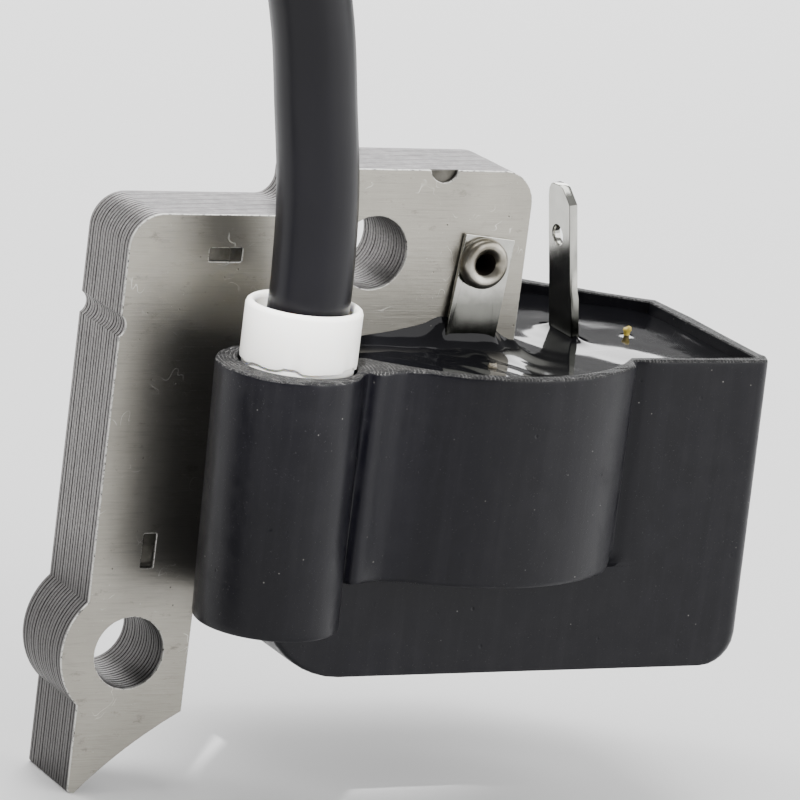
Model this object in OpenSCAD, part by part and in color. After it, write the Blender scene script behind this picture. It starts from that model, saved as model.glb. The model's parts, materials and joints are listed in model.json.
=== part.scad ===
// Ignition coil module of a small two-stroke engine: laminated core, potted coil box,
// high-tension lead with plug boot, kill terminal and earth strip.
// Origin: centre of the lower mounting hole on the front lamination's face.
// X runs across the core, Y from the front face to the back of the stack, Z up.

/* [Laminated core] */
// Number of laminations in the stack
lam_count = 17; // [9:1:24]
// Distance from one lamination to the next
lam_pitch = 0.5; // [0.35:0.05:0.65]
// Varnish gap between two laminations
lam_gap = 0.02; // [0.01:0.005:0.04]
// Width of both legs of the core
leg_w = 10; // [8:0.5:11]
// Left edge of the mounting leg
core_x0 = -4.35; // [-4.8:0.05:-4]
// Left edge of the wound leg
wound_leg_x = 23.8; // [22:0.2:26]
// Height of the core's left shoulder
shoulder_z = 38.9; // [37.5:0.1:40]
// Height of the core's right part
core_top_z = 43.1; // [42.5:0.1:44]
// Height of the yoke's lower edge
yoke_z = 27.4; // [26.8:0.1:28]
// Radius of the mounting holes
hole_r = 3.25; // [2.6:0.05:3.4]
// Radius of the boss round the lower hole
boss_r = 6.35; // [5.8:0.05:6.6]
// Place of the upper mounting hole across the core
hole_dx = 18.8; // [18:0.1:19.5]
// Height of the upper mounting hole
hole_dz = 35.7; // [35:0.1:36]
// Radius of the flywheel that the pole faces follow
flywheel_r = 42; // [41:0.1:42.3]

/* [Coil box] */
// Left outer face of the box
box_x0 = 8.2; // [7.6:0.1:8.6]
// Right outer face of the box
box_x1 = 56.2; // [55.8:0.1:58]
// Front outer face of the box
box_y0 = -7.9; // [-8.4:0.1:-7.4]
// Rear outer face of the box
box_y1 = 22.8; // [22.6:0.1:24]
// Height of the rim
rim_z = 28.2; // [27.8:0.1:28.8]
// Wall thickness of the box
wall = 1.2; // [1:0.1:1.4]
// Radius of the round bulge over the coil
bulge_r = 18.2; // [17.8:0.1:18.6]
// Height of the bulge's lower end
bulge_z = 9.5; // [8.5:0.1:10.5]
// Level of the potting compound
pool_z = 27; // [26.6:0.1:27.2]

/* [Lead tower] */
// Radius of the tower
tower_r = 6.3; // [6.2:0.05:6.5]
// Centre of the tower across the box, at its foot
tower_x = 8.4; // [8.2:0.1:8.6]
// Centre of the tower from front to back, at its foot
tower_y = -8.2; // [-8.4:0.1:-8]
// Height of the tower's foot
tower_z = 5.4; // [5:0.1:6]
// Outer radius of the ferrule
ferrule_r = 5; // [4.9:0.05:5.05]
// Height of the ferrule's upper end
ferrule_z = 33.4; // [32.5:0.1:34.5]

/* [Lead and boot] */
// Diameter of the high-tension lead
lead_d = 7; // [6.8:0.1:7.2]
// Length of the plug boot's barrel
boot_len = 36; // [34:1:40]
// Radius of the plug boot's barrel
boot_r = 8.5; // [8:0.1:9.5]
// Radius of the socket for the spark plug
socket_r = 5; // [4.8:0.1:5.3]

/* [Terminals] */
// Width of the kill terminal's tab
blade_w = 4; // [3.8:0.1:4.4]
// Thickness of the kill terminal
blade_t = 0.8; // [0.7:0.05:0.9]
// Height of the kill terminal's tip
blade_top_z = 40.8; // [39:0.1:41]
// Width of the earth strip
strip_w = 5; // [4.8:0.1:5.4]
// Thickness of the earth strip
strip_t = 0.4; // [0.3:0.05:0.5]

/* [Hidden] */
$fn = 48;
eps = 0.02;

// Core
lam_t = lam_pitch - lam_gap;
stack_t = (lam_count - 1) * lam_pitch + lam_t;
core_x1 = wound_leg_x + leg_w;
leg_x1 = core_x0 + leg_w;
step_x = 12.7;
flywheel_x = 26.2;
flywheel_z = -42.1;
foot_z = -12.6;
wound_foot_z = -4;
boss_inset = 1;
corner_r = 3;
step_r = 1.8;
window_r = 1;
edge_notch_z = 29.1;
edge_notch_r = 1.1;
edge_notch_depth = 0.5;

// Marks pressed into the outer laminations: two slots and a half-round cut in the top edge
dimple_depth = 0.3;
dimple_w = 1.2;
dimple_l = 3.1;
upper_dimple = [4.7, 35.4];
lower_dimple = [0.7, 9.2];
top_cut_x = 24.8;
top_cut_rise = 0.3;
top_cut_r = 1.4;

// Coil axis, the middle of the wound leg
coil_x = wound_leg_x + leg_w / 2;
coil_y = stack_t / 2;

// Box
slant_angle = 36.4;
slant_reach = 23.2;
rear_chamfer = 5;
foot_r_left = 8;
foot_r_right = 3;
front_corner_r = 1.5;
leg_clear = 0.2;

// Wall between the tower and the bulge
web_x0 = 11.9;
web_edge_x = 14.4;
web_x1 = 16.2;
web_x2 = 19;
web_tower_y = -13.3;
web_edge_y = -11.9;
web_y = -11.1;

// Lean of the tower in degrees, to the left and to the front
tower_lean_x = 2.25;
tower_lean_y = 1.25;

// Lead bore in the tower
bore_x = 8.5;
bore_y = -8.2;
seat_z = 24.2;
bore_r = 3.8;
bore_floor_z = 7;
tower_wall = 1.15;
fit_gap = 0.05;
ferrule_in_r = 4.2;
spike_base_r = 2.6;
spike_base_h = 1.2;
spike_r = 0.9;
spike_tip_r = 0.3;
spike_h = 1.95;

// Coil parts
charge_z0 = 1.4;
charge_z1 = 9;
charge_mid_z = 6;
charge_flange = 0.8;
charge_flange_w = 22;
charge_flange_d = 20;
charge_build = 4.2;
trigger_build = 2.4;
bobbin_wall = 1;
primary_z0 = 9.6;
coil_top_z = 25.4;
primary_r = 8.6;
primary_flange_r = 9.8;
primary_wire = 0.7;
secondary_z0 = 10.8;
secondary_in_r = 10;
secondary_tube_r = 11;
secondary_flange_r = 16.6;
secondary_flange = 0.8;
secondary_fill_r = 15.6;
sections = 4;

// Control board
board_x = 49.6;
board_t = 1;
board_y0 = -6;
board_y1 = 11.5;
board_z0 = 4;
board_z1 = 26.2;
board_holes_z = [7, 12, 17, 21];
board_hole_y = 10;
capacitor_size = [4.4, 13, 10];
capacitor_y = -5;
capacitor_z = 11;
thyristor_r = 2.3;
thyristor_h = 4.6;
thyristor_place = [-2.6, 5.5, 14];
diode_x = 1.5;
diode_z = 8;
diode_len = 5;
diode_r = 1.35;
charge_diode_y = -4;
clamp_diode_y = 3;
resistor_r = 1;
resistor_x = -1.1;
resistor_y0 = -3;
resistor_len = 5;
resistors_z = [6, 9];

// Wires inside the box
charge_wire_y = [7, 9];
charge_wire_r = 0.35;
link_r = 0.4;
kill_link_inset = 0.4;
ground_link_r = 0.3;
ground_link_gap = 0.1;
secondary_tap = [18, -4.6, 10.2];
sleeve_x = 48.3;
sleeve_y = 5.2;
sleeve_z0 = 19;
sleeve_rise = 0.7;

// Terminals
blade_x = 41.8;
blade_y = 3.6;
blade_root_z = 25.6;
blade_lean = 8.7;
blade_shoulder_z = 30.9;
blade_shoulder = 0.15;
blade_front_cut = [1.7, 1.4];
blade_rear_cut = [1, 1];
blade_hole_r = 0.95;
blade_hole = [0.3, 10.55];
post_left = 1.4;
post_w = 3.4;
strip_x = 28.75;
strip_z = 27.2;
strip_len = 10.2;
strip_turn = 6.3;
strip_foot = 3.2;
strip_drop = 1.2;
rivet_x = 29.3;
rivet_z = 35.05;
rivet_head_r = 2.25;
rivet_head_h = 0.9;
rivet_edge_r = 0.7;
rivet_hole_r = 0.75;
rivet_hole_depth = 2.5;
rivet_shank_r = 1.35;
rivet_tail = 0.5;

// Points along the middle of the lead, from the contact spike to the plug boot
lead_path = [
    [8.5, -8.2, 9], [8.5, -8.2, 14], [8.5, -8.2, 20], [8.6, -8.3, 26], [8.7, -8.4, 31],
    [8.7, -8.5, 36], [8.2, -8.6, 43], [7.1, -8.6, 50], [5.4, -8.6, 59], [1.8, -8.6, 70],
    [-4.6, -8.4, 80.5], [-14, -8, 88], [-26, -7.6, 91], [-38, -7.2, 88], [-47.2, -6.8, 80.5],
    [-52.6, -6.4, 70], [-54.6, -6, 59], [-55, -6, 48], [-55, -6, 37],
    [-55, -6, 27], [-55, -6, 18]
];
lead_sides = 12;
lead_steps = 3;

// Plug boot, its neck standing on the barrel
boot_x = -55;
boot_y = -6;
boot_z = -4.1;
boot_neck_r = 5.6;
boot_neck_z = 26;
boot_back = 10;
boot_end_wall = 5;
lead_end_z = 18;
socket_len = 16;
spring_r = 3.4;
spring_wire_r = 0.45;
spring_turns = 5;
spring_pitch = 1.6;

// Straight rod between two points
module rod(a, b, r) {
    v = b - a;
    len = norm(v);
    translate(a)
        rotate([0, acos(v[2] / len), atan2(v[1], v[0])])
            cylinder(r = r, h = len);
}

// Part of a square corner outside its rounding, the corner at the origin
module corner(r) {
    difference() {
        translate([-eps, -eps]) square(r + eps);
        translate([r, r]) circle(r);
    }
}

// Turns an outline drawn in X and Z into a plate from y to y + t
module plate(y, t) {
    translate([0, y + t, 0]) rotate([90, 0, 0]) linear_extrude(t) children();
}

module dimple_outline() {
    translate(upper_dimple) square([dimple_l, dimple_w], center = true);
    translate(lower_dimple) square([dimple_w, dimple_l], center = true);
    translate([top_cut_x, core_top_z + top_cut_rise]) circle(top_cut_r);
}

module core_outline() {
    difference() {
        union() {
            translate([core_x0, foot_z]) square([leg_w, shoulder_z - foot_z]);
            translate([core_x0, yoke_z]) square([core_x1 - core_x0, shoulder_z - yoke_z]);
            translate([step_x, yoke_z]) square([core_x1 - step_x, core_top_z - yoke_z]);
            translate([wound_leg_x, wound_foot_z]) square([leg_w, yoke_z + 1 - wound_foot_z]);
            intersection() {
                circle(boss_r);
                translate([-boss_r, -boss_r]) square([boss_r + leg_x1 - boss_inset, 2 * boss_r]);
            }
            translate([step_x, shoulder_z]) rotate(90) corner(step_r);
            translate([leg_x1, yoke_z]) rotate(-90) corner(window_r);
            translate([wound_leg_x, yoke_z]) rotate(180) corner(window_r);
        }
        translate([flywheel_x, flywheel_z]) circle(flywheel_r, $fn = 180);
        circle(hole_r);
        translate([hole_dx, hole_dz]) circle(hole_r);
        translate([core_x0, shoulder_z]) rotate(-90) corner(corner_r);
        translate([core_x1, core_top_z]) rotate(180) corner(corner_r);
        translate([step_x, core_top_z]) rotate(-90) corner(step_r);
        translate([core_x0 - edge_notch_r + edge_notch_depth, edge_notch_z])
            circle(edge_notch_r);
    }
}

module core_front_lamination() {
    color([0.66, 0.65, 0.61])
        difference() {
            plate(0, lam_t) core_outline();
            plate(-1, 1 + dimple_depth) dimple_outline();
        }
}

module core_inner_laminations() {
    color([0.52, 0.52, 0.52])
        for (i = [1 : lam_count - 2])
            plate(i * lam_pitch, lam_t) core_outline();
}

module core_rear_lamination() {
    color([0.64, 0.63, 0.6])
        plate((lam_count - 1) * lam_pitch, lam_t)
            difference() {
                core_outline();
                dimple_outline();
            }
}

// Outline of the box from above, moved inwards by i
function slant_y(i, x) =
    coil_y + (slant_reach - i - sin(slant_angle) * (x - coil_x)) / cos(slant_angle);
function slant_x(i, y) =
    coil_x + (slant_reach - i - cos(slant_angle) * (y - coil_y)) / sin(slant_angle);

module box_plan(i) {
    difference() {
        polygon([
            [box_x0 + i, box_y0 + i],
            [box_x1 - i, box_y0 + i],
            [box_x1 - i, slant_y(i, box_x1 - i)],
            [slant_x(i, box_y1 - i), box_y1 - i],
            [box_x0 + rear_chamfer + i * (sqrt(2) - 1), box_y1 - i],
            [box_x0 + i, box_y1 - rear_chamfer - i * (sqrt(2) - 1)]
        ]);
        translate([box_x1 - i, box_y0 + i]) rotate(90) corner(max(front_corner_r - i, 0.3));
    }
}

// Box seen from the front, moved inwards by i
module box_front(i) {
    difference() {
        translate([box_x0 + i, i]) square([box_x1 - box_x0 - 2 * i, rim_z + 2]);
        translate([box_x0 + i, i]) corner(foot_r_left - i);
        translate([box_x1 - i, i]) rotate(90) corner(foot_r_right - i);
    }
}

module box_body(i, top) {
    intersection() {
        linear_extrude(top) box_plan(i);
        plate(box_y0 - 1, box_y1 - box_y0 + 2) box_front(i);
    }
}

// Front half of the round bulge
module bulge(i, top) {
    translate([0, 0, bulge_z + i])
        linear_extrude(top - bulge_z - i)
            intersection() {
                translate([coil_x, coil_y]) circle(bulge_r - i, $fn = 96);
                translate([0, -bulge_r]) square([2 * bulge_r + box_x0, bulge_r]);
            }
}

module tower_body() {
    reach = tower_r + 3;
    translate([tower_x, tower_y, tower_z])
        intersection() {
            rotate([tower_lean_y, -tower_lean_x, 0])
                translate([0, 0, -2]) cylinder(r = tower_r, h = rim_z);
            translate([-reach, -reach, 0]) cube([2 * reach, 2 * reach, rim_z - tower_z]);
        }
}

// Wall that joins the tower to the bulge
module web() {
    translate([0, 0, bulge_z])
        linear_extrude(rim_z - bulge_z)
            polygon([
                [web_x0, box_y0 + wall / 2],
                [web_x0, web_tower_y],
                [web_edge_x, web_edge_y],
                [web_x1, web_y],
                [web_x2, web_y],
                [web_x2, box_y0 + wall / 2]
            ]);
}

// Everything inside the box walls, up to the given height
module box_cavity(top) {
    difference() {
        union() {
            box_body(wall, top);
            bulge(wall, top);
        }
        translate([bore_x, bore_y, 0]) cylinder(r = ferrule_r + tower_wall, h = rim_z + 1);
    }
}

module lead_bore() {
    translate([bore_x, bore_y, bore_floor_z]) cylinder(r = bore_r, h = rim_z);
    translate([bore_x, bore_y, seat_z]) cylinder(r = ferrule_r + fit_gap, h = rim_z);
}

module leg_slot(gap) {
    translate([wound_leg_x - gap, -gap, -5])
        cube([leg_w + 2 * gap, stack_t + 2 * gap, rim_z + 10]);
}

module coil_housing() {
    color([0.11, 0.11, 0.12])
        difference() {
            union() {
                box_body(0, rim_z);
                bulge(0, rim_z);
                tower_body();
                web();
            }
            box_cavity(rim_z + 1);
            lead_bore();
            leg_slot(leg_clear);
            translate([box_x0 - 1, -leg_clear, yoke_z - leg_clear])
                cube([wall + 2, stack_t + 2 * leg_clear, 3]);
            ht_link_shape();
        }
}

module potting_compound() {
    color([0.04, 0.04, 0.045])
        difference() {
            box_cavity(pool_z);
            leg_slot(leg_clear / 2);
            coil_envelope();
            board_envelope();
            kill_terminal_shape();
            ground_strip_shape();
            sleeved_wire_shape();
            link_wires_shape();
            ht_link_shape();
        }
}

// Bobbins and windings as one block
module coil_envelope() {
    translate([coil_x, coil_y, charge_z0])
        linear_extrude(charge_z1 - charge_z0)
            square([charge_flange_w, charge_flange_d], center = true);
    translate([coil_x, coil_y, primary_z0])
        cylinder(r = primary_flange_r, h = coil_top_z - primary_z0);
    translate([coil_x, coil_y, secondary_z0])
        cylinder(r = secondary_flange_r, h = coil_top_z - secondary_z0);
    bobbin_post();
}

// Cuts the hole for the core's leg out of a bobbin
module leg_tube() {
    difference() {
        children();
        linear_extrude(rim_z)
            square([leg_w + 2 * leg_clear, stack_t + 2 * leg_clear], center = true);
    }
}

module charge_bobbin() {
    color([0.55, 0.47, 0.36])
        translate([coil_x, coil_y, 0])
            leg_tube()
                union() {
                    translate([0, 0, charge_z0]) linear_extrude(charge_z1 - charge_z0)
                        square([leg_w + 2 * bobbin_wall, stack_t + 2 * bobbin_wall], center = true);
                    for (z = [charge_z0, charge_mid_z, charge_z1 - charge_flange])
                        translate([0, 0, z]) linear_extrude(charge_flange)
                            square([charge_flange_w, charge_flange_d], center = true);
                }
}

module square_winding(z0, z1, build) {
    w = leg_w + 2 * bobbin_wall;
    d = stack_t + 2 * bobbin_wall;
    translate([coil_x, coil_y, z0]) linear_extrude(z1 - z0)
        difference() {
            square([w + 2 * build, d + 2 * build], center = true);
            square([w, d], center = true);
        }
}

module charge_winding() {
    color([0.62, 0.3, 0.12])
        square_winding(charge_z0 + charge_flange, charge_mid_z, charge_build);
}

module trigger_winding() {
    color([0.66, 0.34, 0.14])
        square_winding(charge_mid_z + charge_flange, charge_z1 - charge_flange, trigger_build);
}

module primary_bobbin() {
    color([0.55, 0.47, 0.36])
        translate([coil_x, coil_y, 0])
            leg_tube()
                union() {
                    translate([0, 0, primary_z0])
                        cylinder(r = primary_r, h = coil_top_z - primary_z0);
                    for (z = [primary_z0, coil_top_z - charge_flange])
                        translate([0, 0, z]) cylinder(r = primary_flange_r, h = charge_flange);
                }
}

module primary_winding() {
    color([0.7, 0.36, 0.15])
        translate([coil_x, coil_y, primary_z0 + charge_flange])
            difference() {
                cylinder(r = primary_r + primary_wire, h = coil_top_z - primary_z0 - 2 * charge_flange);
                translate([0, 0, -1]) cylinder(r = primary_r, h = coil_top_z);
            }
}

// Block on the top flange that holds the kill terminal's root
module bobbin_post() {
    translate([blade_x - post_left, blade_y - 1, coil_top_z - eps])
        cube([post_w, blade_w + 2, 1]);
}

module secondary_bobbin() {
    step = (coil_top_z - secondary_z0 - secondary_flange) / sections;
    color([0.5, 0.42, 0.33]) {
        difference() {
            union() {
                translate([coil_x, coil_y, 0]) {
                    translate([0, 0, secondary_z0])
                        cylinder(r = secondary_tube_r, h = coil_top_z - secondary_z0);
                    for (i = [0 : sections])
                        translate([0, 0, secondary_z0 + i * step])
                            cylinder(r = secondary_flange_r, h = secondary_flange);
                }
                bobbin_post();
            }
            translate([coil_x, coil_y, secondary_z0 - 1])
                cylinder(r = secondary_in_r, h = coil_top_z);
            kill_terminal_shape();
        }
    }
}

module secondary_winding() {
    step = (coil_top_z - secondary_z0 - secondary_flange) / sections;
    color([0.72, 0.4, 0.17])
        translate([coil_x, coil_y, 0])
            for (i = [0 : sections - 1])
                translate([0, 0, secondary_z0 + i * step + secondary_flange])
                    difference() {
                        cylinder(r = secondary_fill_r, h = step - secondary_flange);
                        translate([0, 0, -1]) cylinder(r = secondary_tube_r, h = step + 1);
                    }
}

module ht_link_shape() {
    rod([bore_x + 2.4, bore_y + 0.9, bore_floor_z + 0.7], secondary_tap, link_r);
}

module ht_link_wire() {
    color([0.72, 0.45, 0.2]) ht_link_shape();
}

module ht_contact_spike() {
    color([0.78, 0.6, 0.28])
        translate([bore_x, bore_y, bore_floor_z])
            rotate_extrude()
                polygon([
                    [0, 0],
                    [spike_base_r, 0],
                    [spike_base_r, spike_base_h],
                    [spike_r, spike_base_h],
                    [spike_tip_r, spike_h],
                    [0, spike_h]
                ]);
}

module lead_ferrule() {
    color([0.93, 0.92, 0.88])
        translate([bore_x, bore_y, seat_z])
            rotate_extrude()
                translate([ferrule_in_r, 0]) square([ferrule_r - ferrule_in_r, ferrule_z - seat_z]);
}

// Point on a smooth curve through the path, a share t of the way from point i to the next
function catmull(p, i, t) =
    let (
        a = p[max(i - 1, 0)],
        b = p[i],
        c = p[i + 1],
        d = p[min(i + 2, len(p) - 1)]
    )
    0.5 * (2 * b + (c - a) * t + (2 * a - 5 * b + 4 * c - d) * t * t
        + (3 * b - a - 3 * c + d) * t * t * t);

function curve_points(p, steps) = concat(
    [for (i = [0 : len(p) - 2], k = [0 : steps - 1]) catmull(p, i, k / steps)],
    [p[len(p) - 1]]
);

function unit(v) = v / norm(v);

// Tube of n sides and radius r along the points; the sweep's side vector stays in one plane
module tube(points, r, n) {
    last = len(points) - 1;
    rings = [
        for (i = [0 : last])
            let (
                dir = unit(points[min(i + 1, last)] - points[max(i - 1, 0)]),
                side = unit(cross(dir, [0.02, 1, 0.03])),
                up = cross(dir, side)
            )
            for (k = [0 : n - 1])
                points[i] + r * (cos(360 * k / n) * side + sin(360 * k / n) * up)
    ];
    faces = concat(
        [[for (k = [0 : n - 1]) k]],
        [
            for (i = [0 : last - 1], k = [0 : n - 1])
                [i * n + k, (i + 1) * n + k, (i + 1) * n + (k + 1) % n, i * n + (k + 1) % n]
        ],
        [[for (k = [n - 1 : -1 : 0]) last * n + k]]
    );
    polyhedron(rings, faces, convexity = 6);
}

module ht_lead() {
    color([0.08, 0.08, 0.09]) tube(curve_points(lead_path, lead_steps), lead_d / 2, lead_sides);
}

module plug_boot() {
    color([0.1, 0.1, 0.1])
        translate([boot_x, boot_y, boot_z])
            difference() {
                union() {
                    rotate([90, 0, 0]) translate([0, 0, -boot_back])
                        cylinder(r = boot_r, h = boot_len);
                    cylinder(r = boot_neck_r, h = boot_neck_z - boot_z);
                }
                rotate([90, 0, 0]) translate([0, 0, boot_len - boot_back - socket_len])
                    cylinder(r = socket_r, h = socket_len + 1);
                rotate([90, 0, 0]) translate([0, 0, -boot_back + boot_end_wall])
                    cylinder(r = spring_r + spring_wire_r + 0.1, h = boot_len - 6);
                translate([0, 0, lead_end_z - boot_z])
                    cylinder(r = lead_d / 2 + fit_gap, h = boot_neck_z);
            }
}

module plug_terminal_spring() {
    turns = [
        for (a = [0 : 30 : 360 * spring_turns])
            [spring_r * cos(a), boot_end_wall + 1 - boot_back + spring_pitch * a / 360, spring_r * sin(a)]
    ];
    color([0.75, 0.76, 0.78])
        translate([boot_x, boot_y - spring_pitch, boot_z])
            mirror([0, 1, 0])
                tube(turns, spring_wire_r, 8);
}

module kill_terminal_shape() {
    half = blade_w / 2;
    wide = half + blade_shoulder;
    shoulder = blade_shoulder_z - blade_root_z;
    top = blade_top_z - blade_root_z;
    translate([blade_x, blade_y + half, blade_root_z])
        rotate([0, -blade_lean, 0])
            rotate([90, 0, 90])
                linear_extrude(blade_t)
                    difference() {
                        polygon([
                            [-wide, 0],
                            [wide, 0],
                            [wide, shoulder],
                            [half, shoulder + blade_shoulder],
                            [half, top - blade_rear_cut[1]],
                            [half - blade_rear_cut[0], top],
                            [blade_front_cut[0] - half, top],
                            [-half, top - blade_front_cut[1]],
                            [-half, shoulder + blade_shoulder],
                            [-wide, shoulder]
                        ]);
                        translate(blade_hole) circle(blade_hole_r);
                    }
}

module kill_terminal() {
    color([0.8, 0.8, 0.78]) kill_terminal_shape();
}

module ground_strip_shape() {
    difference() {
        union() {
            translate([strip_x, -strip_t, strip_z])
                rotate([0, strip_turn, 0])
                    translate([-strip_w / 2, 0, 0]) cube([strip_w, strip_t, strip_len]);
            translate([strip_x - strip_w / 2, -strip_t - strip_foot, strip_z - strip_drop])
                cube([strip_w, strip_t + strip_foot, strip_t]);
            translate([strip_x - strip_w / 2, -strip_t, strip_z - strip_drop])
                cube([strip_w, strip_t, strip_drop + strip_t]);
        }
        translate([rivet_x, -1, rivet_z]) rotate([-90, 0, 0]) cylinder(r = rivet_shank_r, h = 2);
    }
}

module ground_strip() {
    color([0.78, 0.78, 0.76]) ground_strip_shape();
}

module ground_rivet() {
    shank = strip_t + stack_t + rivet_tail;
    color([0.75, 0.74, 0.7])
        translate([rivet_x, -strip_t, rivet_z])
            rotate([90, 0, 0])
                rotate_extrude()
                    difference() {
                        union() {
                            square([rivet_head_r, rivet_head_h]);
                            translate([0, -shank]) square([rivet_shank_r, shank + rivet_edge_r]);
                        }
                        translate([0, -rivet_hole_depth])
                            square([rivet_hole_r, rivet_hole_depth + 2 * rivet_head_h]);
                        translate([rivet_head_r, rivet_head_h]) rotate(180) corner(rivet_edge_r);
                    }
}

module control_board_shape() {
    translate([board_x, board_y0, board_z0])
        cube([board_t, board_y1 - board_y0, board_z1 - board_z0]);
}

module control_board() {
    color([0.2, 0.36, 0.18])
        difference() {
            control_board_shape();
            for (z = board_holes_z)
                rod([board_x - 1, board_hole_y, z], [board_x + 2, board_hole_y, z], link_r);
        }
}

module storage_capacitor() {
    color([0.62, 0.2, 0.12])
        translate([board_x + board_t, capacitor_y, capacitor_z]) cube(capacitor_size);
}

module thyristor() {
    color([0.1, 0.1, 0.11])
        translate([board_x, 0, 0] + thyristor_place)
            linear_extrude(thyristor_h)
                intersection() {
                    circle(thyristor_r);
                    translate([-2 * thyristor_r, -thyristor_r])
                        square([-thyristor_place[0] + 2 * thyristor_r, 2 * thyristor_r]);
                }
}

module diode(y) {
    x = board_x + board_t + diode_x;
    color([0.12, 0.12, 0.13]) rod([x, y, diode_z], [x, y + diode_len, diode_z], diode_r);
}

module charge_diode() {
    diode(charge_diode_y);
}

module clamp_diode() {
    diode(clamp_diode_y);
}

module gate_resistors() {
    x = board_x + resistor_x;
    color([0.74, 0.66, 0.5])
        for (z = resistors_z)
            rod([x, resistor_y0, z], [x, resistor_y0 + resistor_len, z], resistor_r);
}

module board_envelope() {
    control_board_shape();
    storage_capacitor();
    thyristor();
    charge_diode();
    clamp_diode();
    gate_resistors();
}

module charge_link_wires_shape() {
    for (y = charge_wire_y)
        rod([coil_x + charge_flange_w / 2, y, 5], [board_x, y, 5.5], charge_wire_r);
}

module kill_link_shape() {
    y = blade_y + kill_link_inset;
    rod([blade_x + 2.2, y, coil_top_z + 0.5], [board_x - 0.4, y, 21.5], link_r);
}

module ground_link_shape() {
    z = coil_top_z + ground_link_gap + ground_link_r;
    rod([strip_x + 1, -2.4, z], [board_x, -4.4, z], ground_link_r);
}

module link_wires_shape() {
    charge_link_wires_shape();
    kill_link_shape();
    ground_link_shape();
}

module charge_link_wires() {
    color([0.72, 0.4, 0.17]) charge_link_wires_shape();
}

module kill_link_wire() {
    color([0.75, 0.12, 0.1]) kill_link_shape();
}

module ground_link_wire() {
    color([0.1, 0.4, 0.16]) ground_link_shape();
}

module sleeved_wire_shape() {
    rod([sleeve_x, sleeve_y, sleeve_z0], [sleeve_x, sleeve_y, pool_z + sleeve_rise], link_r);
}

module sleeved_wire_end() {
    color([0.8, 0.68, 0.16]) sleeved_wire_shape();
}

core_front_lamination();
core_inner_laminations();
core_rear_lamination();
coil_housing();
potting_compound();
charge_bobbin();
charge_winding();
trigger_winding();
primary_bobbin();
primary_winding();
secondary_bobbin();
secondary_winding();
ht_link_wire();
ht_contact_spike();
lead_ferrule();
ht_lead();
plug_boot();
plug_terminal_spring();
kill_terminal();
ground_strip();
ground_rivet();
control_board();
storage_capacitor();
thyristor();
charge_diode();
clamp_diode();
gate_resistors();
charge_link_wires();
kill_link_wire();
ground_link_wire();
sleeved_wire_end();
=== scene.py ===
import json
from math import acos, asin, atan2, cos, degrees, exp, hypot, pi, radians, sin, sqrt, tan

import bpy
import numpy as np
from mathutils import Matrix, Vector
from mathutils.geometry import tessellate_polygon


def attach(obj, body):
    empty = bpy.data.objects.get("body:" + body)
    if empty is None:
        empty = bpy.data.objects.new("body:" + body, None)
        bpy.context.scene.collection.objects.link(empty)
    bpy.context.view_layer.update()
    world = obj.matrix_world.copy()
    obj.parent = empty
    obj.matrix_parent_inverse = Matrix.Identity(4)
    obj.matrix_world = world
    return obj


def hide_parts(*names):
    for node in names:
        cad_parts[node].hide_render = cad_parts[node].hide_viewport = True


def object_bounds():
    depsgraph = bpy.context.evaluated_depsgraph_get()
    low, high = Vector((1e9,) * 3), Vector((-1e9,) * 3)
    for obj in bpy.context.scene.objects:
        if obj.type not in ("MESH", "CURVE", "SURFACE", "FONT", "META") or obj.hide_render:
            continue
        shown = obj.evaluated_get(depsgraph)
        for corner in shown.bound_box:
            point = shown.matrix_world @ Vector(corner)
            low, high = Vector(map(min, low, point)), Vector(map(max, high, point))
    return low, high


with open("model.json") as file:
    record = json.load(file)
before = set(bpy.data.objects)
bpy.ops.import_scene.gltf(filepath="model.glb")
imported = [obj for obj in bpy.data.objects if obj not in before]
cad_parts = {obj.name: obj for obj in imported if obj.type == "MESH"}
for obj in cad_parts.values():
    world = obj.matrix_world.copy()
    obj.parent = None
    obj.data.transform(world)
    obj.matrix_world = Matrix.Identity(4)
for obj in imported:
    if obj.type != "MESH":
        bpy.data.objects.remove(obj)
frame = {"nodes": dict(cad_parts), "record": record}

CAD_BOX = [list(corner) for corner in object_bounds()]
MM = 0.001
SLOT = {part["node"]: part["material_slot"] for part in frame["record"]["subparts"]}

# Core, in millimetres
LAM_COUNT, LAM_PITCH, LAM_THICK = 17, 0.5, 0.48
CORE_LEFT, LEG_RIGHT, WOUND_LEFT, CORE_RIGHT = -4.35, 5.65, 23.8, 33.8
YOKE_Z, SHOULDER_Z, CORE_TOP, STEP_X = 27.4, 38.9, 43.1, 12.7
HOLE_R, BOSS_R, UPPER_HOLE = 3.25, 6.35, (18.8, 35.7)
FLYWHEEL, FLYWHEEL_R, FOOT_Z, CORE_REAR = (26.2, -42.1), 42.0, -12.6, LAM_COUNT * LAM_PITCH
RIVET, RIVET_HOLE_R = (29.3, 35.05), 1.36
RECESS, RECESS_R = (24.8, CORE_TOP + 0.3), 1.4
NOTCH, NOTCH_R = (CORE_LEFT - 0.6, 29.1), 1.1
UPPER_SLOT, LOWER_SLOT, SLOT_LONG, SLOT_SHORT = (4.7, 35.4), (0.7, 9.2), 3.1, 1.2

# Coil box
BOX_LEFT, BOX_RIGHT, BOX_FRONT, BOX_REAR, RIM_Z, WALL = 8.2, 55.9, -7.9, 22.8, 28.2, 1.2
COIL_X, COIL_Y, BULGE_R, BULGE_Z = 28.8, 4.24, 18.2, 9.5
BULGE_START, BULGE_END, BULGE_ROUND, BULGE_STEPS = 20, 41.0, 1.8, 60
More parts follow.
